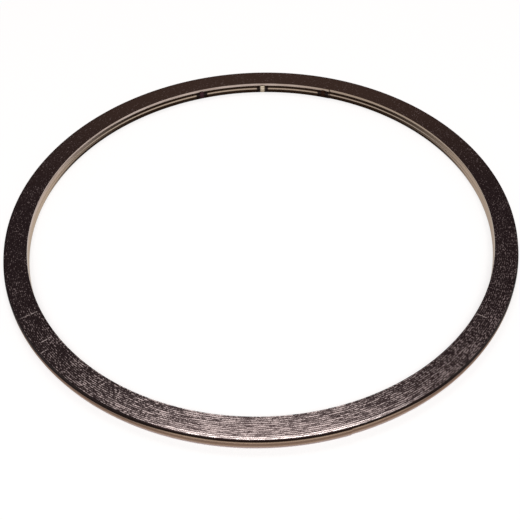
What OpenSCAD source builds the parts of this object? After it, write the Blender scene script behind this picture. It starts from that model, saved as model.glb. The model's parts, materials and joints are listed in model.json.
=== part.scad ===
// Spiral-wound cylinder head gasket.
// One thin steel strip, rolled to a double chevron, is wound on itself in a flat spiral.
// A softer filler strip of the same section runs between its turns. The first and last turns
// are bare steel, and spot welds hold both ends of the strip to the next turn.
// The ring lies flat, with its axis on Z and its lower face on Z = 0.

/* [Ring] */
// Diameter of the bore, across the innermost turn
bore_d = 241; // [200:1:280]
// Thickness of the ring, which is the width of the steel strip
ring_h = 6.4; // [4.5:0.1:8]

/* [Steel strip] */
// Thickness of the strip, measured across the ring
strip_t = 0.2; // [0.15:0.01:0.3]
// Straight edge above and below the two chevrons
edge_h = 0.5; // [0.3:0.05:0.9]
// How far each chevron stands out from the straight edges
chevron_d = 0.45; // [0.2:0.05:0.7]
// Bare turns inside the filler
inner_plies = 2; // [2:1:4]
// Bare turns outside the filler, not counting the tail
outer_plies = 2; // [2:1:4]
// Air left between two bare turns
ply_gap = 0.05; // [0.03:0.01:0.1]
// Direction of the strip's inner end, anticlockwise from +X
start_deg = 68; // [0:1:359]
// How far the strip runs on past its last whole turn
tail_deg = 218; // [190:1:350]

/* [Filler strip] */
// Thickness of the filler, measured across the ring
filler_t = 0.66; // [0.4:0.02:0.8]
// Clearance between the filler and the steel on each side
filler_gap = 0.02; // [0.01:0.01:0.04]
// Spaces between turns that hold filler
filled_turns = 12; // [6:1:14]

/* [Spot welds] */
// Width of the flat spot that one weld leaves
weld_d = 3; // [1:0.1:4]
// Welds along the strip's inner end
inner_welds = 3; // [1:1:5]
// Angle from one weld to the next
weld_step_deg = 18; // [6:1:30]
// Angle from each end of the strip to its nearest weld
weld_inset_deg = 2; // [1:0.5:5]

/* [Hidden] */
$fn = 180;

plain_pitch = strip_t + ply_gap;
filled_pitch = strip_t + filler_t + 2 * filler_gap;
first_filled = inner_plies - 1;
last_filled = first_filled + filled_turns - 1;
last_turn = last_filled + 1 + outer_plies;

// Radius of the inner face where turn n begins
function turn_r(n) =
    let (filled = max(0, min(n - first_filled, filled_turns)))
    bore_d / 2 + filled * filled_pitch + (n - filled) * plain_pitch;

// Half a chevron section: the face that looks towards the bore, from bottom to top
function chevron_face() =
    let (facet_h = (ring_h - 2 * edge_h) / 4)
    concat(
        [[0, 0]],
        [for (i = [0:4]) [i % 2 * chevron_d, edge_h + i * facet_h]],
        [[0, ring_h]]
    );

// Section of a strip of thickness t, set out from the line that the winding follows
module strip_section(t) {
    face = chevron_face();
    back = [for (i = [len(face) - 1:-1:0]) face[i] + [t, 0]];
    polygon(concat(face, back));
}

// The first half of each turn, at a constant radius, for a strip of thickness t
// that lies "out" from the line of the winding
module round_halves(turns, out, t)
    rotate_extrude(angle = 180)
        for (n = turns)
            translate([turn_r(n) + out, 0])
                strip_section(t);

// The second half of each turn, on a shifted centre, so that it climbs by one pitch
// to where the next turn begins
module climbing_halves(turns, pitch, out, t, sweep = 180)
    translate([pitch / 2, 0, 0])
        rotate([0, 0, 180])
            rotate_extrude(angle = sweep)
                for (n = turns)
                    translate([turn_r(n) + pitch / 2 + out, 0])
                        strip_section(t);

// One spot weld at mid-height, from the middle of the bare turn whose inner face is at
// radius r to the middle of the next one
module spot_weld(r, deg)
    rotate([0, 0, deg])
        translate([r + strip_t / 2, 0, ring_h / 2])
            rotate([0, 90, 0])
                cylinder(d = weld_d, h = plain_pitch);

module winding_strip()
    color("dimgray")
        rotate([0, 0, start_deg]) {
            round_halves([0:last_turn], 0, strip_t);
            climbing_halves([0:first_filled - 1], plain_pitch, 0, strip_t);
            climbing_halves([first_filled:last_filled], filled_pitch, 0, strip_t);
            climbing_halves([last_filled + 1:last_turn - 1], plain_pitch, 0, strip_t);
            climbing_halves([last_turn], plain_pitch, 0, strip_t, tail_deg - 180);
            for (i = [0:inner_welds - 1])
                spot_weld(bore_d / 2, weld_inset_deg + i * weld_step_deg);
            translate([plain_pitch / 2, 0, 0])
                spot_weld(turn_r(last_turn - 1) + plain_pitch / 2, tail_deg - weld_inset_deg);
        }

module filler_strip()
    color([0.16, 0.14, 0.13])
        rotate([0, 0, start_deg]) {
            round_halves([first_filled:last_filled], strip_t + filler_gap, filler_t);
            climbing_halves([first_filled:last_filled - 1], filled_pitch, strip_t + filler_gap, filler_t);
        }

winding_strip();
filler_strip();
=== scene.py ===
# %% [markdown]
# # A spiral-wound cylinder head gasket
# The ring seals the joint between an engine's cylinder and its head. It is a thin steel strip, rolled
# to a double chevron, wound on itself like a watch spring with a soft graphite strip between the
# turns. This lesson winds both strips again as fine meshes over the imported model, gives them their
# worn and stained finishes, and lights them on a white table.

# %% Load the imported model
import json
import math

import bmesh
import bpy
from mathutils import Matrix, Quaternion, Vector


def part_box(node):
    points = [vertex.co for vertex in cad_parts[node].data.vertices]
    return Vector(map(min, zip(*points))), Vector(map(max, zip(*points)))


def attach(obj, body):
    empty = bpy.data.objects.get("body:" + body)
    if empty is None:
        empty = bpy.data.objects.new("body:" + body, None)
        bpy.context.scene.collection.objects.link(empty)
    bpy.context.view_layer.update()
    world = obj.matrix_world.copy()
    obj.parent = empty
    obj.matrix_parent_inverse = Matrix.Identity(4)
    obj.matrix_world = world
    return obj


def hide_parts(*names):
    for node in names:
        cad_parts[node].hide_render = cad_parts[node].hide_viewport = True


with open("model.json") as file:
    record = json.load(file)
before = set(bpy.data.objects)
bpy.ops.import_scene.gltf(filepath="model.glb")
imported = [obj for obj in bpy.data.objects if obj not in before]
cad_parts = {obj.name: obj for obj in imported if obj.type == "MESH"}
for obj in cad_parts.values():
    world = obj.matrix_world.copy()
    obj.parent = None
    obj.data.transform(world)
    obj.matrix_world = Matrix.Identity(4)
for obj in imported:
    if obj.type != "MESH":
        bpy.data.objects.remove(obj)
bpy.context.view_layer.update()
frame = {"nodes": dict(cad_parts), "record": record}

print("packed nodes:", sorted(frame["nodes"]))

# %% [markdown]
# ## The driving sizes
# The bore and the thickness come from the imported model. The strip's own sizes are too small to
# measure on a coarse mesh, so they are written here in millimetres, as they are on the solids.

# %% Sizes of the two strips
MM = 0.001
bore_mount = next(m for m in frame["record"]["mounts"] if m["name"] == "bore")
BORE_R = bore_mount["dims"]["r_mm"] * MM
RING_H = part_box("winding_strip")[1].z

STRIP_T = 0.2 * MM
EDGE_H = 0.5 * MM
CHEVRON_D = 0.45 * MM
PLY_GAP = 0.05 * MM
FILLER_T = 0.66 * MM
FILLER_GAP = 0.02 * MM

INNER_PLIES = 2
FILLED_TURNS = 12
OUTER_PLIES = 2
START = math.radians(68)
TAIL = math.radians(218)

PLAIN_PITCH = STRIP_T + PLY_GAP
FILLED_PITCH = STRIP_T + FILLER_T + 2 * FILLER_GAP
FIRST_FILLED = INNER_PLIES - 1
LAST_FILLED = FIRST_FILLED + FILLED_TURNS - 1
pitches = [PLAIN_PITCH] * FIRST_FILLED + [FILLED_PITCH] * FILLED_TURNS + [PLAIN_PITCH] * (OUTER_PLIES + 1)
turn_r = [BORE_R + sum(pitches[:n]) for n in range(len(pitches))]
OUTER_R = turn_r[-1] + STRIP_T
print(f"bore {2 * BORE_R / MM:.1f} mm, outside {2 * OUTER_R / MM:.1f} mm, thickness {RING_H / MM:.2f} mm")

# %% [markdown]
# ## The chevron section
# Rollers fold the flat strip to two chevrons, with a short straight edge above and below. The folds
# make the ring springy, and they lock its turns together. Bending a flat mesh would give the same
# shape with more work, so the section is drawn as a loop of points, and the winding follows it.

# %% Section of a strip
FACETS = 4
FACET_H = (RING_H - 2 * EDGE_H) / FACETS


def chevron_loop(thickness):
    """Points (out, up) of a strip's section: up the face towards the bore, and down the other face."""
    heights = [0] + [EDGE_H + i * FACET_H for i in range(FACETS + 1)] + [RING_H]
    leans = [0] + [i % 2 * CHEVRON_D for i in range(FACETS + 1)] + [0]
    face = list(zip(leans, heights))
    return face + [(out + thickness, up) for out, up in reversed(face)]


print("points in a section:", len(chevron_loop(STRIP_T)))

# %% [markdown]
# ## Winding a strip
# A winding machine lays the strip on a turning mandrel, so each turn starts where the last one ended.
# Spinning one section again and again would copy that, but every spin slows down as the mesh grows.
# It is quicker to see the spiral as half circles. The first half of every turn keeps its radius, so
# all those sections can be spun about the ring's axis at once. The second half climbs by one pitch,
# which a spin about a centre moved by half the pitch gives. Each section carries the number of its
# turn and the side that each point is on as attributes, and the spin copies them along.

# %% Spin the half turns
STEPS_PER_TURN = 240


def way_at(angle):
    """The level direction at an angle from +X."""
    return Vector((math.cos(angle), math.sin(angle), 0))


start_way = way_at(START)


def spin_sections(mesh, thickness, sections, way, shift, sweep):
    """Draws a section for each (turn, radius) on the side of `way`, and spins them about one centre."""
    turn = mesh.verts.layers.float["turn"]
    across = mesh.verts.layers.float["across"]
    centre = shift * start_way
    ends = []
    for number, radius in sections:
        verts = [mesh.verts.new(centre + (radius + out) * way + Vector((0, 0, up)))
                 for out, up in chevron_loop(thickness)]
        for index, vert in enumerate(verts):
            vert[turn] = number
            vert[across] = float(index >= len(verts) / 2)
        ends += verts + [mesh.edges.new(pair) for pair in zip(verts, verts[1:] + verts[:1])]
    steps = round(STEPS_PER_TURN * sweep / math.tau)
    bmesh.ops.spin(mesh, geom=ends, cent=centre, axis=(0, 0, 1), angle=sweep, steps=steps)


def wind(thickness, out, turns, tail):
    """A strip that lies `out` from the line of the winding, over these turns and a tail past the last."""
    mesh = bmesh.new()
    mesh.verts.layers.float.new("turn")
    mesh.verts.layers.float.new("across")
    round_halves = [(n, turn_r[n] + out) for n in turns]
    spin_sections(mesh, thickness, round_halves, start_way, 0, math.pi)
    for pitch in (PLAIN_PITCH, FILLED_PITCH):
        climbing = [(n + 0.5, turn_r[n] + pitch / 2 + out) for n in turns[:-1] if pitches[n] == pitch]
        if climbing:
            spin_sections(mesh, thickness, climbing, -start_way, pitch / 2, math.pi)
    if tail:
        last = turns[-1]
        shift = pitches[last] / 2
        spin_sections(mesh, thickness, [(last + 0.5, turn_r[last] + shift + out)], -start_way, shift, tail)
    return mesh


print("steps in a whole turn:", STEPS_PER_TURN)

# %% [markdown]
# ## From half turns to one strip
# The halves share a tangent where they meet, so merging the doubled points there leaves one smooth
# strip. Its two cut ends are still open, and filling those holes makes it a closed solid.

# %% Close a strip
MERGE_WITHIN = FILLER_GAP / 10


def close_strip(name, mesh):
    """Merges the half turns of a strip, closes its two ends, and makes it an object."""
    bmesh.ops.remove_doubles(mesh, verts=mesh.verts, dist=MERGE_WITHIN)
    bmesh.ops.holes_fill(mesh, edges=[edge for edge in mesh.edges if edge.is_boundary])
    bmesh.ops.recalc_face_normals(mesh, faces=mesh.faces)
    data = bpy.data.meshes.new(name)
    mesh.to_mesh(data)
    mesh.free()
    piece = bpy.data.objects.new(name, data)
    bpy.context.scene.collection.objects.link(piece)
    print(f"{name}: {len(data.vertices)} points, {len(data.polygons)} faces")
    return piece


print(f"points within {MERGE_WITHIN / MM:.3f} mm are merged")

# %% [markdown]
# ## The steel strip
# The strip begins with a bare turn at the bore, runs through the filled turns, and ends on bare turns
# at the outside, part of the way round. So it takes every turn, with a tail past the last whole one.

# %% Wind the steel strip
steel_turns = list(range(len(turn_r)))
steel_strip = close_strip("steel_strip", wind(STRIP_T, 0, steel_turns, TAIL - math.pi))

# %% [markdown]
# ## The graphite filler
# The filler has the same section, three times as thick. The space for it opens over half a turn after
# the bare inner turns, and closes over half a turn before the bare outer ones. Foil is soft, so there
# it is squeezed to a wedge. Each wedge is spun as a full strip along the turn inside it, and then its
# outer side is moved back to the turn outside it, which climbs at another pitch.

# %% Wind the filler
FILLER_OUT = STRIP_T + FILLER_GAP


def squeeze_end(mesh, n):
    """The wedge of filler in the second half of turn n, between two turns of different pitch."""
    inner_shift = pitches[n] / 2
    outer_shift = pitches[n + 1] / 2
    inner_r = turn_r[n] + inner_shift + FILLER_OUT
    outer_r = turn_r[n + 1] + outer_shift - FILLER_GAP
    made_before = len(mesh.verts)
    spin_sections(mesh, FILLER_T, [(n + 0.5, inner_r)], -start_way, inner_shift, math.pi)
    across = mesh.verts.layers.float["across"]
    for vert in list(mesh.verts)[made_before:]:
        way = vert.co - inner_shift * start_way
        way = Vector((way.x, way.y, 0)).normalized()
        move = (outer_shift - inner_shift) * start_way + (outer_r - inner_r - FILLER_T) * way
        vert.co += vert[across] * move


filled_turns = list(range(FIRST_FILLED, LAST_FILLED + 1))
filler_mesh = wind(FILLER_T, FILLER_OUT, filled_turns, 0)
for n in (FIRST_FILLED - 1, LAST_FILLED):
    squeeze_end(filler_mesh, n)
graphite_filler = close_strip("graphite_filler", filler_mesh)

# %% [markdown]
# ## Spot welds
# A resistance welder pinches the end of the strip against the turn behind it, at three places by the
# bore and at one by the outer end. Each pinch leaves a flat disc across the chevrons. A short cylinder
# from the middle of one turn to the middle of the next gives that, in the steel's own mesh.

# %% Add the spot welds
WELD_D = 3.0 * MM
WELD_SIDES = 32
INNER_WELDS = 3
WELD_STEP = math.radians(18)
WELD_INSET = math.radians(2)
inner_weld_angles = [START + WELD_INSET + i * WELD_STEP for i in range(INNER_WELDS)]
outer_weld_angle = START + TAIL - WELD_INSET
tail_shift = PLAIN_PITCH / 2
welds = [(BORE_R, angle, 0) for angle in inner_weld_angles]
welds.append((turn_r[-2] + tail_shift, outer_weld_angle, tail_shift))


def add_weld(mesh, inner_r, angle, shift):
    """A disc between two bare turns at mid-height, in this direction from a shifted centre."""
    place = Matrix.Translation(shift * start_way) @ Matrix.Rotation(angle, 4, "Z")
    place @= Matrix.Translation((inner_r + STRIP_T / 2 + PLAIN_PITCH / 2, 0, RING_H / 2))
    place @= Matrix.Rotation(math.pi / 2, 4, "Y")
    size = {"radius1": WELD_D / 2, "radius2": WELD_D / 2, "depth": PLAIN_PITCH}
    bmesh.ops.create_cone(mesh, cap_ends=True, segments=WELD_SIDES, matrix=place, **size)


mesh = bmesh.new()
mesh.from_mesh(steel_strip.data)
for weld in welds:
    add_weld(mesh, *weld)
mesh.to_mesh(steel_strip.data)
mesh.free()
print("spot welds:", len(welds))

# %% [markdown]
# ## Smooth arcs and crisp folds
# Along the winding the faces are parts of one smooth curve, but the chevron folds and the strip's
# edges are sharp. Shading everything smooth and then marking each edge that turns by more than a few
# degrees keeps both. The strip's narrow edges, which make up the ring's flat faces, wear in another
# way than its walls, so every face that looks straight up or down gets a second material slot.

# %% Shade the pieces and sort their faces
FOLD_ANGLE = math.radians(8)
LOOKS_UP = 0.9
WALL, EDGE = 0, 1
for piece in (steel_strip, graphite_filler):
    mesh = bmesh.new()
    mesh.from_mesh(piece.data)
    mesh.normal_update()
    for face in mesh.faces:
        face.smooth = True
        face.material_index = EDGE if abs(face.normal.z) > LOOKS_UP else WALL
    for edge in mesh.edges:
        edge.smooth = edge.calc_face_angle(math.pi) < FOLD_ANGLE
    mesh.to_mesh(piece.data)
    print(piece.name, "edge faces:", sum(face.material_index == EDGE for face in mesh.faces))
    mesh.free()

# %% [markdown]
# ## Tools for the materials
# Colours are picked as sRGB hex values and turned to the linear values that a shader needs. One small
# function adds a node: each setting is a property, the value of an input, or a link from another node
# or from one of its outputs. Where a whole node is given, its first output in use is linked. Settings
# that many nodes share are named here once, and a node adds its own to them. A Map Range node with
# the SOFT setting makes most of the masks: it rises smoothly from 0 to 1 between two limits of a
# value. A Mix node with the LAYER setting lays one colour over another by such a mask.

# %% Colours and nodes
SOFT = {"interpolation_type": "SMOOTHSTEP"}
PLUS = {"operation": "ADD"}
MINUS = {"operation": "SUBTRACT"}
TIMES = {"operation": "MULTIPLY"}
WEIGH = {"operation": "MULTIPLY_ADD"}
POWER = {"operation": "POWER"}
MOST = {"operation": "MAXIMUM"}
LAYER = {"data_type": "RGBA"}
# The colour inputs of a Mix node go by number, because other inputs share their names
UNDER, OVER = 6, 7


def colour(hex_code):
    """Linear red, green, blue and alpha of an sRGB hex colour."""
    parts = [int(hex_code[i:i + 2], 16) / 255 for i in (1, 3, 5)]
    linear = [c / 12.92 if c <= 0.04045 else ((c + 0.055) / 1.055) ** 2.4 for c in parts]
    return (*linear, 1.0)


def add(tree, kind, settings):
    """Adds a shader node with its settings and links."""
    node = tree.nodes.new("ShaderNode" + kind)
    for key, value in settings.items():
        if isinstance(value, bpy.types.Node):
            value = next(output for output in value.outputs if output.enabled)
        if isinstance(value, bpy.types.NodeSocket):
            tree.links.new(value, node.inputs[key])
        elif key in node.bl_rna.properties.keys():
            setattr(node, key, value)
        else:
            node.inputs[key].default_value = value
    return node


def new_material(name):
    """An empty material and its node tree."""
    material = bpy.data.materials.new(name)
    material.use_nodes = True
    material.node_tree.nodes.clear()
    return material, material.node_tree


print("white is", colour("#ffffff"))

# %% [markdown]
# ## Patterns that run round the ring
# Every mark of rolling, winding and rubbing on this object follows the turns. Plain coordinates would
# draw straight streaks across the ring. Here a place on the ring is described by its direction from
# the axis, which has no seam, and by its radius plus its height, which steps evenly across the flat
# faces and up the walls alike. One unit of the result is a chosen length round the ring and a chosen
# width across it.

# %% Coordinates round the ring
MEAN_R = (BORE_R + OUTER_R) / 2


def ring_coordinates(tree, along, across):
    """Pattern coordinates: one unit is `along` metres round the ring and `across` metres over it."""
    place = add(tree, "TexCoord", {}).outputs["Object"]
    flat = add(tree, "VectorMath", TIMES | {0: place, 1: (1, 1, 0)})
    way = add(tree, "VectorMath", {"operation": "NORMALIZE", 0: flat})
    round_it = add(tree, "VectorMath", {"operation": "SCALE", 0: way, "Scale": MEAN_R / along})
    radius = add(tree, "VectorMath", {"operation": "LENGTH", 0: flat})
    height = add(tree, "SeparateXYZ", {0: place}).outputs["Z"]
    reach = add(tree, "Math", PLUS | {0: radius, 1: height})
    over = add(tree, "Math", {"operation": "DIVIDE", 0: reach, 1: across})
    over_it = add(tree, "CombineXYZ", {"Z": over})
    return add(tree, "VectorMath", PLUS | {0: round_it, 1: over_it})


def grain(tree, along, across):
    """Noise about 0.5 whose spots are that long round the ring and that wide over it."""
    place = ring_coordinates(tree, along, across)
    return add(tree, "TexNoise", {"Vector": place, "Scale": 1.0, "Detail": 3.0, "Roughness": 0.6})


print("patterns run round a mean radius of", round(MEAN_R / MM, 1), "mm")

# %% [markdown]
# ## Places on the ring
# Wear and dirt depend on where a place is: to the front or the back, or near a weld. How far it lies
# from the axis in some direction tells that, without an angle that jumps from 360 to 0 degrees. A
# stripe between two limits of such a measure is the mask for a scratch, a scorch or a band of stain.

# %% Measures and stripes


def reach_along(tree, way):
    """How far a place lies from the ring's axis in one direction, in metres."""
    place = add(tree, "TexCoord", {}).outputs["Object"]
    return add(tree, "VectorMath", {"operation": "DOT_PRODUCT", 0: place, 1: way})


def stripe(tree, value, low, high, soft):
    """A mask that is 1 while the value lies between two limits, with soft ends."""
    rise = add(tree, "MapRange", SOFT | {"Value": value, "From Min": low - soft, "From Max": low + soft})
    fall = add(tree, "MapRange", SOFT | {"Value": value, "From Min": high + soft, "From Max": high - soft})
    return add(tree, "Math", TIMES | {0: rise, 1: fall})


FRONT = Vector((0, -1, 0))
print("the front looks along", list(FRONT))

# %% [markdown]
# ## Wear and painted sheen on the flat faces
# The front of this ring has been rubbed most, in streaks along the turns, and there its flat face
# mirrors the back softbox, so the same front mask also paints a sheen and glints. Its right side has
# taken a few knocks, and its back keeps a coat of brown grime that covers most of the bright spots.
# Painting each spot would take an image, so a fine grain stands for them, and they are partly specks
# and partly painted glints. The measures of rubbing with its painted sheen, knocks and grime raise
# or lower that grain, and broad patches make it uneven. Each finish then cuts it off at a level of
# its own, which leaves few bright spots at the back and many at the front. Real specks are finer
# than these, which are as coarse as they need to be to show.

# %% Rubbing with painted sheen, grime, and specks with painted glints
KNOCKED_WAY = way_at(math.radians(333))
KNOCKED_FROM = 0.8 * MEAN_R
DOT = (1.1 * MM, 0.6 * MM)
STREAK = (6 * MM, 0.4 * MM)
PATCH = (8 * MM, 5 * MM)
STREAK_SHARE = 0.7
WEAR_AND_SHEEN_BY_PLACE = 0.115
WEAR_BY_PATCH = 0.16
WEAR_BY_KNOCKS = 0.035
GRIME_COVER = 0.04
# The higher these powers are, the faster the rubbing with its painted sheen, and the streaks, fade towards
# the sides
RUBBING_AND_SHEEN_FADE = 2
STREAK_FADE = 2


def rubbing_and_sheen(tree):
    """How much a place on the flat faces is worn and carries the painted sheen: 0 from the back to the sides,
    and 1 at the front.
    """
    reach = reach_along(tree, FRONT)
    forward = add(tree, "Math", {"operation": "DIVIDE", "use_clamp": True, 0: reach, 1: MEAN_R})
    return add(tree, "Math", POWER | {0: forward, 1: RUBBING_AND_SHEEN_FADE})


def grime_coat(tree):
    """How thick the brown deposit lies: 0 in the front half, and 1 at the back."""
    reach = reach_along(tree, FRONT)
    return add(tree, "MapRange", SOFT | {"Value": reach, "From Min": 0, "From Max": -OUTER_R})


def specks_and_glints(tree):
    """Grain about 0.5 that grows with wear and with the painted sheen: single spots, and longer streaks where
    the front is worn and lit most.
    """
    rubbed_and_lit = rubbing_and_sheen(tree)
    most_rubbed_and_lit = add(tree, "Math", POWER | {0: rubbed_and_lit, 1: STREAK_FADE})
    share = add(tree, "Math", TIMES | {0: most_rubbed_and_lit, 1: STREAK_SHARE})
    level = add(tree, "Mix", {"Factor": share, "A": grain(tree, *DOT), "B": grain(tree, *STREAK)})
    patch = add(tree, "Math", MINUS | {0: grain(tree, *PATCH), 1: 0.5})
    reach = reach_along(tree, KNOCKED_WAY)
    knocked = add(tree, "MapRange", SOFT | {"Value": reach, "From Min": KNOCKED_FROM, "From Max": MEAN_R})
    # The front term adds wear and the painted glints of the front together.
    weights = [WEAR_BY_PATCH, -GRIME_COVER, WEAR_BY_KNOCKS, WEAR_AND_SHEEN_BY_PLACE]
    for mask, weight in zip([patch, grime_coat(tree), knocked, rubbed_and_lit], weights):
        level = add(tree, "Math", WEIGH | {0: mask, 1: weight, 2: level})
    return level


print(f"specks {DOT[0] / MM:.1f} mm long, streaks {STREAK[0] / MM:.1f} mm long")

# %% [markdown]
# ## Polish, painted rim highlight and scratches
# The outermost turns are polished at the front, a little right of the middle, where something has
# rubbed along the rim. There the rim also mirrors the back softbox, so the same mask paints a
# highlight on it. Four short scratches cross the turns. Cutting them into the mesh would take far
# more faces, so each is a thin stripe in its own direction from the axis, between two radii. A grain
# breaks it up, because a scratch skips over the hollows.

# %% Rim polish with painted highlight, and cross scratches
RIM_WAY = way_at(math.radians(274))
POLISH_AND_HIGHLIGHT_FROM, POLISH_AND_HIGHLIGHT_FULL = 110 * MM, 127 * MM
SCRATCH_HALF_WIDTH = 0.16 * MM
SCRATCH_END = 0.5 * MM
SCRATCH_GRAIN = (0.6 * MM, 0.6 * MM)
SCRATCH_FROM, SCRATCH_FULL = 0.35, 0.60
# Direction in degrees, and the inner and outer radius in millimetres
SCRATCHES = [(208.2, 122.4, 130.2), (216.6, 123.0, 128.6), (219.0, 128.6, 131.4), (326.2, 121.4, 126.0)]


def rim_polish_and_highlight(tree):
    """How much the outermost turns are polished and carry the painted highlight: 1 at the front, a little
    right of the middle.
    """
    reach = reach_along(tree, RIM_WAY)
    return add(tree, "MapRange", SOFT | {"Value": reach, "From Min": POLISH_AND_HIGHLIGHT_FROM, "From Max": POLISH_AND_HIGHLIGHT_FULL})


def cross_scratches(tree):
    """The few scratches that run across the turns."""
    marks = 0
    hollows = grain(tree, *SCRATCH_GRAIN)
    broken = add(tree, "MapRange", SOFT | {
        "Value": hollows, "From Min": SCRATCH_FROM, "From Max": SCRATCH_FULL,
    })
    for degrees, inner, outer in SCRATCHES:
        angle = math.radians(degrees)
        side = reach_along(tree, way_at(angle + math.pi / 2))
        out = reach_along(tree, way_at(angle))
        thin = stripe(tree, side, -SCRATCH_HALF_WIDTH, SCRATCH_HALF_WIDTH, SCRATCH_HALF_WIDTH)
        long = stripe(tree, out, inner * MM, outer * MM, SCRATCH_END)
        whole = add(tree, "Math", TIMES | {0: thin, 1: long})
        mark = add(tree, "Math", TIMES | {0: whole, 1: broken})
        marks = add(tree, "Math", MOST | {0: marks, 1: mark})
    return marks


print("cross scratches:", len(SCRATCHES))

# %% [markdown]
# ## Graphite foil
# Flexible graphite is pressed from flakes: soft and nearly black, with a dull lustre. Where it is
# rubbed most, at the front, a painted grey sheen covers the whole face, and pale flecks stand partly
# for single flakes that lie flat and shine like metal, and partly for painted glints. So the foil is a
# dark, rather rough surface, the painted sheen and the flecks turn it metallic and paler, and the
# flecks are the specks above a certain level. There are more of them along each side of the strip,
# beside the steel, and at the polished outermost turns, where the painted rim highlight lies.

# %% Graphite material
GRAPHITE_BLACK = "#1d1012"
BROWN_GRIME = "#3a2820"
FRESH_SCRATCH = "#d6c8c4"
FLAKE_GLINTS_FROM, FLAKE_GLINTS_FULL = 0.60, 0.74
LINE_WEAR_AND_GLINTS = 0.5
RIM_GLINTS = 0.16
SHEEN_FADE = 3
DULL_FOIL, SHINY_FOIL = 0.5, 0.36
OUTERMOST_FROM, OUTERMOST_ALL = LAST_FILLED + 0.2, LAST_FILLED + 0.4


def flakes_and_glints(tree, rubbed_and_lit):
    """A mask of the pale flecks: flakes that lie flat, and painted glints."""
    across = add(tree, "Attribute", {"attribute_name": "across"}).outputs["Fac"]
    off_middle = add(tree, "Math", MINUS | {0: across, 1: 0.5})
    beside_steel = add(tree, "Math", {"operation": "ABSOLUTE", 0: off_middle})
    # A quarter is the mean of that measure, so the lines add no flecks on the whole
    lines = add(tree, "Math", MINUS | {0: beside_steel, 1: 0.25})
    rubbed_and_lit_lines = add(tree, "Math", TIMES | {0: rubbed_and_lit, 1: lines})
    turn = add(tree, "Attribute", {"attribute_name": "turn"}).outputs["Fac"]
    outermost = add(tree, "MapRange", SOFT | {
        "Value": turn, "From Min": OUTERMOST_FROM, "From Max": OUTERMOST_ALL,
    })
    # More painted glints on the outermost turns, where the rim highlight lies.
    rim_highlight = add(tree, "Math", TIMES | {0: outermost, 1: rim_polish_and_highlight(tree)})
    level = specks_and_glints(tree)
    for mask, weight in ((rubbed_and_lit_lines, LINE_WEAR_AND_GLINTS), (rim_highlight, RIM_GLINTS)):
        level = add(tree, "Math", WEIGH | {0: mask, 1: weight, 2: level})
    return add(tree, "MapRange", SOFT | {"Value": level, "From Min": FLAKE_GLINTS_FROM, "From Max": FLAKE_GLINTS_FULL})


def graphite_foil():
    """Pressed graphite: dark and brown behind, worn in front, with a painted sheen and pale flecks that are
    partly flakes and partly painted glints.
    """
    material, tree = new_material("pressed_graphite_foil")
    rubbed_and_lit = rubbing_and_sheen(tree)
    # Painted sheen: toward the front the base colour turns grey and metallic, where the face mirrors the back
    # softbox.
    sheen = add(tree, "Math", POWER | {0: rubbed_and_lit, 1: SHEEN_FADE})
    scratches = cross_scratches(tree)
    bright = add(tree, "Math", MOST | {0: flakes_and_glints(tree, rubbed_and_lit), 1: scratches})
    # The pale flecks are partly flakes and partly painted glints, and paler toward the front.
    flake_and_glint_colour = add(tree, "Mix", LAYER | {"Factor": rubbed_and_lit, UNDER: colour("#98888a"), OVER: colour("#b3a3a0")})
    layers = [
        (grime_coat(tree), colour(BROWN_GRIME)),
        (sheen, colour("#524545")),
        (bright, flake_and_glint_colour),
        (scratches, colour(FRESH_SCRATCH)),
    ]
    shade = colour(GRAPHITE_BLACK)
    for mask, tint in layers:
        shade = add(tree, "Mix", LAYER | {"Factor": mask, UNDER: shade, OVER: tint})
    metal = add(tree, "Math", MOST | {0: bright, 1: sheen})
    roughness = add(tree, "MapRange", {"Value": metal, "To Min": DULL_FOIL, "To Max": SHINY_FOIL})
    foil = add(tree, "BsdfPrincipled", {
        "Base Color": shade, "Metallic": metal, "Roughness": roughness, "Specular IOR Level": 0.1,
    })
    add(tree, "OutputMaterial", {"Surface": foil})
    return material


graphite = graphite_foil()
print("made", graphite.name)

# %% [markdown]
# ## The strip's edges
# The flat faces show the strip edge-on, as fine lines of steel, painted paler toward the front, where
# they mirror the back softbox. Between the filled turns the lines are broken, because graphite is
# smeared over them, and at the back they are lost under the grime. The outermost turns have no
# filler beside them. They are dark, but at the front they are polished, and a painted highlight lies
# on them as a bright, broken rim, and the bare turns are painted lighter there too. Where the
# polish and highlight fade, the outer limit of that rim moves inwards by up to two turns, so that it
# thins out. The turn number on the mesh tells these turns from the rest. Slitting leaves fine marks
# along the edge, which stretch its highlights, so the steel is anisotropic.

# %% Edge material
BARE_FROM, BARE_ALL = LAST_FILLED + 1.6, LAST_FILLED + 1.9
LINES_FROM, LINES_FULL = 0.54, 0.66
SPARKLE = (4 * MM, 0.8 * MM)
SPARKLE_FROM, SPARKLE_FULL = 0.62, 0.90
RIM_HIGHLIGHT_WEIGHT = 0.34
RIM_INSIDE, RIM_FULL = LAST_FILLED - 0.2, LAST_FILLED + 0.8
RIM_OUTSIDE, RIM_KEPT = LAST_FILLED + 1.1, LAST_FILLED - 0.3
RIM_THINS_BY = 2.0
DULL_EDGE, SHINY_EDGE = 0.36, 0.24


def rim_highlight_mask(tree, turn, polish_and_highlight):
    """A mask of the painted highlight along the outermost turns."""
    level = add(tree, "Math", WEIGH | {0: polish_and_highlight, 1: RIM_HIGHLIGHT_WEIGHT, 2: grain(tree, *SPARKLE)})
    sparkle = add(tree, "MapRange", SOFT | {
        "Value": level, "From Min": SPARKLE_FROM, "From Max": SPARKLE_FULL,
    })
    inner_fade = add(tree, "MapRange", SOFT | {"Value": turn, "From Min": RIM_INSIDE, "From Max": RIM_FULL})
    dull_turn = add(tree, "Math", WEIGH | {0: polish_and_highlight, 1: -RIM_THINS_BY, 2: turn})
    outer_fade = add(tree, "MapRange", SOFT | {
        "Value": dull_turn, "From Min": RIM_OUTSIDE, "From Max": RIM_KEPT,
    })
    kept = add(tree, "Math", TIMES | {0: inner_fade, 1: outer_fade})
    return add(tree, "Math", TIMES | {0: sparkle, 1: kept})


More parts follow.
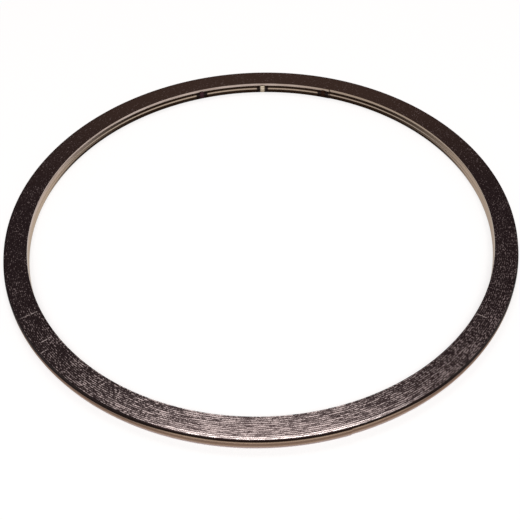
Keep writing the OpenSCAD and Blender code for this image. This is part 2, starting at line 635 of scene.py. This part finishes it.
def worn_and_lit_strip_edge():
    """Steel edges: broken bright lines, smeared with graphite and painted paler at the front, and a painted
    highlight along the outermost turns at the front.
    """
    material, tree = new_material("worn_steel_edge_with_highlight")
    turn = add(tree, "Attribute", {"attribute_name": "turn"}).outputs["Fac"]
    bare = add(tree, "MapRange", SOFT | {"Value": turn, "From Min": BARE_FROM, "From Max": BARE_ALL})
    filled = add(tree, "Math", MINUS | {0: 1.0, 1: bare})
    bright_lines = add(tree, "MapRange", SOFT | {
        "Value": specks_and_glints(tree), "From Min": LINES_FROM, "From Max": LINES_FULL,
    })
    lines = add(tree, "Math", TIMES | {0: bright_lines, 1: filled})
    scratches = cross_scratches(tree)
    clear = add(tree, "Math", MOST | {0: lines, 1: scratches})
    polish_and_highlight = rim_polish_and_highlight(tree)
    rim_highlight = rim_highlight_mask(tree, turn, polish_and_highlight)
    # The bare outer turns are painted lighter toward the front, under the rim highlight.
    bare_shade = add(tree, "Mix", LAYER | {
        "Factor": polish_and_highlight, UNDER: colour("#1b0e10"), OVER: colour("#543c3b"),
    })
    # The steel lines are painted paler toward the front, where they mirror the back softbox.
    line_shade = add(tree, "Mix", LAYER | {
        "Factor": rubbing_and_sheen(tree), UNDER: colour("#9a8a88"), OVER: colour("#c2b4b1"),
    })
    layers = [
        (bare, bare_shade),
        (grime_coat(tree), colour(BROWN_GRIME)),
        (clear, line_shade),
        (scratches, colour(FRESH_SCRATCH)),
        # Near white: the painted rim highlight.
        (rim_highlight, colour("#fff4f0")),
    ]
    shade = colour(GRAPHITE_BLACK)
    for mask, tint in layers:
        shade = add(tree, "Mix", LAYER | {"Factor": mask, UNDER: shade, OVER: tint})
    steel = add(tree, "BsdfPrincipled", {
        "Base Color": shade,
        "Metallic": add(tree, "Math", MOST | {0: clear, 1: rim_highlight}),
        "Roughness": add(tree, "MapRange", {"Value": rim_highlight, "To Min": DULL_EDGE, "To Max": SHINY_EDGE}),
        "Specular IOR Level": 0.1,
        "Anisotropic": 0.5,
        "Anisotropic Rotation": 0.25,
        "Tangent": add(tree, "Tangent", {"direction_type": "RADIAL", "axis": "Z"}),
    })
    add(tree, "OutputMaterial", {"Surface": steel})
    return material


steel_edge = worn_and_lit_strip_edge()
print("made", steel_edge.name)

# %% [markdown]
# ## Scorched welds and a painted end shadow
# Welding scorches the strip in a block about 7 mm wide, from the first fold down, and leaves its
# middle more or less clean. Beside the first weld, a thin line of painted shadow lies along the end of
# the strip. Both are stripes across the direction of the weld, kept to the near side of the axis,
# because a stripe through the axis would come out on the far side too.

# %% Scorch and the painted end shadow
SCORCH_HALF_WIDTH = 3.5 * MM
SCORCH_SOFT = 0.4 * MM
NUGGET_HALF_WIDTH = 1.2 * MM
NUGGET_SOFT = 0.6 * MM
# Size of the painted shadow line along the strip's inner end.
END_SHADOW_WIDTH = 0.5 * MM
END_SHADOW_SOFT = 0.1 * MM
TOP_FOLD = RING_H - EDGE_H - FACET_H
SCORCH_TOP, SCORCH_FULL = TOP_FOLD + 0.2 * FACET_H, TOP_FOLD - 0.1 * FACET_H
# Painted shade at the bore: on the facets that look up, along the foot at the back, and at the strip's end.
BORE_SHADE = "#2b1c12"
SCORCH_BLACK = "#1a0d08"
NUGGET_COLOURS = ["#2a170d", "#cdbfa9", "#3b2429"]


def on_this_side(tree, angle):
    """A mask of the half of the ring that lies in one direction from the axis."""
    reach = reach_along(tree, way_at(angle))
    return add(tree, "MapRange", SOFT | {"Value": reach, "From Min": 0, "From Max": BORE_R / 2})


def scorch(tree, shade, angle, height, clean):
    """A wall's colour with one weld's scorch over it, and its cleaner middle."""
    side = reach_along(tree, way_at(angle + math.pi / 2))
    low_part = add(tree, "MapRange", SOFT | {
        "Value": height, "From Min": SCORCH_TOP, "From Max": SCORCH_FULL,
    })
    here = add(tree, "Math", TIMES | {0: on_this_side(tree, angle), 1: low_part})
    marks = [(SCORCH_HALF_WIDTH, SCORCH_SOFT, SCORCH_BLACK), (NUGGET_HALF_WIDTH, NUGGET_SOFT, clean)]
    for half_width, soft, tint in marks:
        block = stripe(tree, side, -half_width, half_width, soft)
        mask = add(tree, "Math", TIMES | {0: block, 1: here})
        shade = add(tree, "Mix", LAYER | {"Factor": mask, UNDER: shade, OVER: colour(tint)})
    return shade


def end_shadow(tree, shade):
    """A wall's colour with the painted shadow line at the strip's inner end."""
    side = reach_along(tree, way_at(START + math.pi / 2))
    line = stripe(tree, side, 0, END_SHADOW_WIDTH, END_SHADOW_SOFT)
    mark = add(tree, "Math", TIMES | {0: line, 1: on_this_side(tree, START)})
    return add(tree, "Mix", LAYER | {"Factor": mark, UNDER: shade, OVER: colour(BORE_SHADE)})


print("scorched welds:", len(NUGGET_COLOURS))

# %% [markdown]
# ## The wall of the bore
# The innermost turn is bright steel, stained a little, browner below its first fold and on the right.
# At the back, the facets that look up get a painted shade, and a painted shadow lies in a skirt along
# the foot. Which way a facet looks comes from the surface normal, so no part of this needs a mask
# drawn by hand.

# %% Bore wall
UP_FROM, UP_ALL = 0.08, 0.24
BACK_FROM, BACK_ALL = -35 * MM, -100 * MM
SKIRT_TOP, SKIRT_FULL = 1.4 * MM, 1.0 * MM
SKIRT_FROM, SKIRT_ALL = -20 * MM, -70 * MM


def bore_wall(tree, stains, height):
    """The wall of the bore: its colour, and a mask of the painted shade on it."""
    normal = add(tree, "NewGeometry", {}).outputs["Normal"]
    lean = add(tree, "SeparateXYZ", {0: normal}).outputs["Z"]
    reach = reach_along(tree, FRONT)
    upward = add(tree, "MapRange", SOFT | {"Value": lean, "From Min": UP_FROM, "From Max": UP_ALL})
    back = add(tree, "MapRange", SOFT | {"Value": reach, "From Min": BACK_FROM, "From Max": BACK_ALL})
    skirt = add(tree, "MapRange", SOFT | {"Value": height, "From Min": SKIRT_TOP, "From Max": SKIRT_FULL})
    far = add(tree, "MapRange", SOFT | {"Value": reach, "From Min": SKIRT_FROM, "From Max": SKIRT_ALL})
    # Painted shade on the up-facing facets at the back, and a painted shadow along the foot.
    shaded_facets = add(tree, "Math", TIMES | {0: upward, 1: back})
    foot_shadow = add(tree, "Math", TIMES | {0: skirt, 1: far})
    painted_shade = add(tree, "Math", MOST | {0: shaded_facets, 1: foot_shadow})
    below = add(tree, "MapRange", SOFT | {
        "Value": height, "From Min": TOP_FOLD, "From Max": TOP_FOLD - FACET_H,
    })
    right = on_this_side(tree, 0)
    shade = colour("#c2b1a7")
    for mask, tint in ((stains, "#a8968b"), (below, "#b09d8a"), (right, "#a08e7d"), (painted_shade, BORE_SHADE)):
        shade = add(tree, "Mix", LAYER | {"Factor": mask, UNDER: shade, OVER: colour(tint)})
    for angle, clean in zip(inner_weld_angles, NUGGET_COLOURS):
        shade = scorch(tree, shade, angle, height, clean)
    return end_shadow(tree, shade), painted_shade


print(f"grime at the back reaches {SKIRT_TOP / MM:.1f} mm up the wall")

# %% [markdown]
# ## The outer wall
# Heat has left a tan film on the outside. The valley between the chevrons is painted darker as
# shade, and the foot is painted pale as a reflection of the white table. From the top edge down to
# about the first fold a near-black painted reflection lies on it, and it reaches less far down where
# the rim above it was polished and has its painted highlight. The colours follow the height, so each
# band is a mask of the height.

# %% Outer wall
VALLEY_LOW, VALLEY_HIGH = RING_H / 2 - 1.0 * MM, RING_H / 2 + 0.4 * MM
VALLEY_SOFT = 0.4 * MM
LOW_FOLD = EDGE_H + FACET_H
LOW_FROM, LOW_ALL = LOW_FOLD + 0.1 * MM, LOW_FOLD - 0.1 * MM
FOOT_FROM, FOOT_ALL = 1.2 * EDGE_H, 0.8 * EDGE_H
# Limits of the near-black painted reflection at the top of the outer wall.
DARK_REFLECTION_FROM, DARK_REFLECTION_FULL = TOP_FOLD - 0.6 * MM, TOP_FOLD + 0.1 * MM
DARK_BAND_SHORTER_BY = 0.7 * MM


def outer_wall(tree, stains, height):
    """The outer wall: its colour with painted shade and painted reflections, and a mask of the dark painted
    reflection.
    """
    valley_shade = stripe(tree, height, VALLEY_LOW, VALLEY_HIGH, VALLEY_SOFT)
    low = add(tree, "MapRange", SOFT | {"Value": height, "From Min": LOW_FROM, "From Max": LOW_ALL})
    foot_reflection = add(tree, "MapRange", SOFT | {"Value": height, "From Min": FOOT_FROM, "From Max": FOOT_ALL})
    shifted_height = add(tree, "Math", WEIGH | {0: rim_polish_and_highlight(tree), 1: -DARK_BAND_SHORTER_BY, 2: height})
    dark_reflection = add(tree, "MapRange", SOFT | {
        "Value": shifted_height, "From Min": DARK_REFLECTION_FROM, "From Max": DARK_REFLECTION_FULL,
    })
    # Valley: painted shade; foot: painted reflection of the white table; near black: painted dark reflection.
    bands = [(stains, "#b59b84"), (valley_shade, "#8c7262"), (low, "#b49d98"), (foot_reflection, "#ead9d7"), (dark_reflection, "#180703")]
    shade = colour("#c4aa93")
    for mask, tint in bands:
        shade = add(tree, "Mix", LAYER | {"Factor": mask, UNDER: shade, OVER: colour(tint)})
    return shade, dark_reflection


print(f"soot from {DARK_REFLECTION_FROM / MM:.2f} mm up to the top edge")

# %% [markdown]
# ## The rolled strip
# Both walls are one strip of cold-rolled stainless steel. It is smooth, so its facets mirror the
# white table, and rolling leaves faint lines along it. The painted shade, the painted dark reflection
# and the stain are no metal, so they take the shine away and make the wall rougher. The radius tells
# the bore's side from the outside.
# Real rolling lines are finer than these, which are as coarse as they need to be to show.

# %% Wall material
STAIN = (14 * MM, 1.6 * MM)
STAIN_FROM, STAIN_FULL = 0.35, 0.68
STAIN_FILM = 0.7
ROLLING_LINE = (8 * MM, 0.3 * MM)
ROLLING_DEPTH = 0.01 * MM
SHINY_WALL, DULL_WALL = 0.16, 0.5
HALFWAY_IN, HALFWAY_OUT = MEAN_R - FILLED_PITCH, MEAN_R + FILLED_PITCH


def rolled_wall():
    """Chevron walls: bright at the bore, tan outside, scorched at the welds, with painted shade and painted
    reflections.
    """
    material, tree = new_material("rolled_stainless_strip")
    place = add(tree, "TexCoord", {}).outputs["Object"]
    height = add(tree, "SeparateXYZ", {0: place}).outputs["Z"]
    flat = add(tree, "VectorMath", TIMES | {0: place, 1: (1, 1, 0)})
    radius = add(tree, "VectorMath", {"operation": "LENGTH", 0: flat})
    outside = add(tree, "MapRange", SOFT | {"Value": radius, "From Min": HALFWAY_IN, "From Max": HALFWAY_OUT})
    bore_side = add(tree, "Math", MINUS | {0: 1.0, 1: outside})
    stains = add(tree, "MapRange", SOFT | {
        "Value": grain(tree, *STAIN), "From Min": STAIN_FROM, "From Max": STAIN_FULL,
    })
    bore_shade, painted_shade = bore_wall(tree, stains, height)
    outer_shade, dark_reflection = outer_wall(tree, stains, height)
    # The stain film, the painted dark reflection and the painted shade at the bore are no metal.
    film_and_dark_reflection = add(tree, "Math", MOST | {0: dark_reflection, 1: STAIN_FILM})
    outer_film_and_shade = add(tree, "Math", TIMES | {0: film_and_dark_reflection, 1: outside})
    bore_shaded = add(tree, "Math", TIMES | {0: painted_shade, 1: bore_side})
    dirt_and_shade = add(tree, "Math", MOST | {0: outer_film_and_shade, 1: bore_shaded})
    lines = grain(tree, *ROLLING_LINE)
    steel = add(tree, "BsdfPrincipled", {
        "Base Color": add(tree, "Mix", LAYER | {"Factor": outside, UNDER: bore_shade, OVER: outer_shade}),
        "Metallic": add(tree, "Math", MINUS | {0: 1.0, 1: dirt_and_shade}),
        "Roughness": add(tree, "MapRange", {"Value": dirt_and_shade, "To Min": SHINY_WALL, "To Max": DULL_WALL}),
        "Specular IOR Level": 0.05,
        "Normal": add(tree, "Bump", {"Height": lines, "Distance": ROLLING_DEPTH, "Strength": 0.2}),
    })
    add(tree, "OutputMaterial", {"Surface": steel})
    return material


steel_wall = rolled_wall()
print("made", steel_wall.name)

# %% [markdown]
# ## Putting the finishes on
# Each piece stands for its solid in the imported model and rides on the one body of the ring.

# %% Finish the pieces
dressing = [
    (steel_strip, "winding_strip", "strip_steel", (steel_wall, steel_edge)),
    (graphite_filler, "filler_strip", "filler", (graphite, graphite)),
]
for piece, node, slot, finishes in dressing:
    for finish in finishes:
        piece.data.materials.append(finish)
    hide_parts(node)
    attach(piece, "root")
    print(piece.name, "stands for", node)

# %% [markdown]
# ## The table
# The ring lies on a white table that runs out of sight. One large square is enough for it, a hair
# below the ring so that the two surfaces don't share a plane.

# %% Table top
TABLE_HALF = 4.0
TABLE_DROP = 0.05 * MM
mesh = bmesh.new()
bmesh.ops.create_grid(mesh, x_segments=1, y_segments=1, size=TABLE_HALF)
bmesh.ops.translate(mesh, verts=mesh.verts, vec=(0, 0, -TABLE_DROP))
table_data = bpy.data.meshes.new("table")
mesh.to_mesh(table_data)
mesh.free()
table = bpy.data.objects.new("table", table_data)
bpy.context.scene.collection.objects.link(table)
print("table", 2 * TABLE_HALF, "m wide")

# %% [markdown]
# ## White paint
# More light would make the table white, but the ring too pale. Instead the table glows a little for
# the camera and for reflections, so that it stays white beside the dark steel, and its own shading on
# top of that keeps the ring's soft shadow. Far from the ring, where the lamps don't reach, the glow
# rises to full white, so the table has no grey edge in a low view.

# %% Table paint
TABLE_GLOW, FAR_GLOW = 0.62, 1.0
GLOW_RISES_FROM, GLOW_RISES_TO = 0.6, 2.4
table_paint, tree = new_material("white_table")
path = add(tree, "LightPath", {})
seen = path.outputs["Is Camera Ray"]
for ray in ("Is Glossy Ray", "Is Transmission Ray"):
    seen = add(tree, "Math", MOST | {0: seen, 1: path.outputs[ray]})
place = add(tree, "TexCoord", {}).outputs["Object"]
away = add(tree, "VectorMath", {"operation": "LENGTH", 0: place})
brightness = add(tree, "MapRange", SOFT | {
    "Value": away,
    "From Min": GLOW_RISES_FROM,
    "From Max": GLOW_RISES_TO,
    "To Min": TABLE_GLOW,
    "To Max": FAR_GLOW,
})
glow_level = add(tree, "Math", TIMES | {0: seen, 1: brightness})
glow = add(tree, "Emission", {"Color": colour("#ffffff"), "Strength": glow_level})
paint = add(tree, "BsdfDiffuse", {"Color": colour("#bcbcbc")})
glowing_paint = add(tree, "AddShader", {0: glow, 1: paint})
add(tree, "OutputMaterial", {"Surface": glowing_paint})
table_data.materials.append(table_paint)
print("table glow", TABLE_GLOW, "near the ring and", FAR_GLOW, "far away")

# %% [markdown]
# ## The room
# The room is plain grey, which fills the shadows, and the camera sees white past the table. A white
# room would give that too, but its light would wash out the dark ring, so the white is for the
# camera alone.

# %% Grey room
world = bpy.data.worlds.new("room")
bpy.context.scene.world = world
world.use_nodes = True
tree = world.node_tree
tree.nodes.clear()
seen = add(tree, "LightPath", {}).outputs["Is Camera Ray"]
grey = add(tree, "Background", {"Color": colour("#958d8b"), "Strength": 1.0})
white = add(tree, "Background", {"Color": colour("#ffffff"), "Strength": 1.0})
mixed = add(tree, "MixShader", {0: seen, 1: grey, 2: white})
add(tree, "OutputWorld", {"Surface": mixed})
print("room nodes:", len(tree.nodes))

# %% [markdown]
# ## Softboxes
# One softbox hangs behind the ring, where the front of its flat face mirrors it. A larger one above
# the camera gives plain light from the front, which the flat face throws away from the camera. Giving
# a lamp by the radiance of its face keeps it as bright to look at, whatever its size.

# %% Softboxes


def softbox(name, place, aim, width, depth, radiance):
    """A rectangular lamp whose face has the given radiance."""
    lamp = bpy.data.lights.new(name, "AREA")
    lamp.shape = "RECTANGLE"
    lamp.size = width
    lamp.size_y = depth
    lamp.energy = radiance * math.pi * width * depth
    holder = bpy.data.objects.new(name, lamp)
    holder.location = place
    holder.rotation_euler = (Vector(aim) - Vector(place)).to_track_quat("-Z", "Y").to_euler()
    bpy.context.scene.collection.objects.link(holder)
    print(name, "power", round(lamp.energy, 2), "W")


softbox("back_softbox", place=(-0.06, 0.62, 1.2), aim=(0, -0.12, 0), width=0.6, depth=0.3, radiance=4.5)
softbox("front_softbox", place=(0.1, -0.9, 1.6), aim=(0, 0, 0), width=1.6, depth=1.0, radiance=3.5)

# %% [markdown]
# ## Camera
# The photograph looks down at the ring at about 45 degrees, from three and a half times its radius,
# with the camera turned a little out of level. A constraint could aim the camera, but it would level
# it too, so its rotation is worked out here.

# %% Camera
CAMERA_AWAY = 0.461
CAMERA_UP = math.radians(44.9)
CAMERA_ROLL = math.radians(-1.85)
aim = Vector((-0.0005, -0.0226, 0))
camera_data = bpy.data.cameras.new("camera")
camera_data.lens = 60.3
camera_data.sensor_width = 36
camera = bpy.data.objects.new("camera", camera_data)
camera.location = (0, -CAMERA_AWAY * math.cos(CAMERA_UP), CAMERA_AWAY * math.sin(CAMERA_UP))
upright = (aim - camera.location).to_track_quat("-Z", "Y")
camera.rotation_euler = (upright @ Quaternion((0, 0, 1), CAMERA_ROLL)).to_euler()
bpy.context.scene.collection.objects.link(camera)
bpy.context.scene.camera = camera
bpy.context.scene.view_settings.view_transform = "Standard"
print("camera at", [round(c, 4) for c in camera.location])
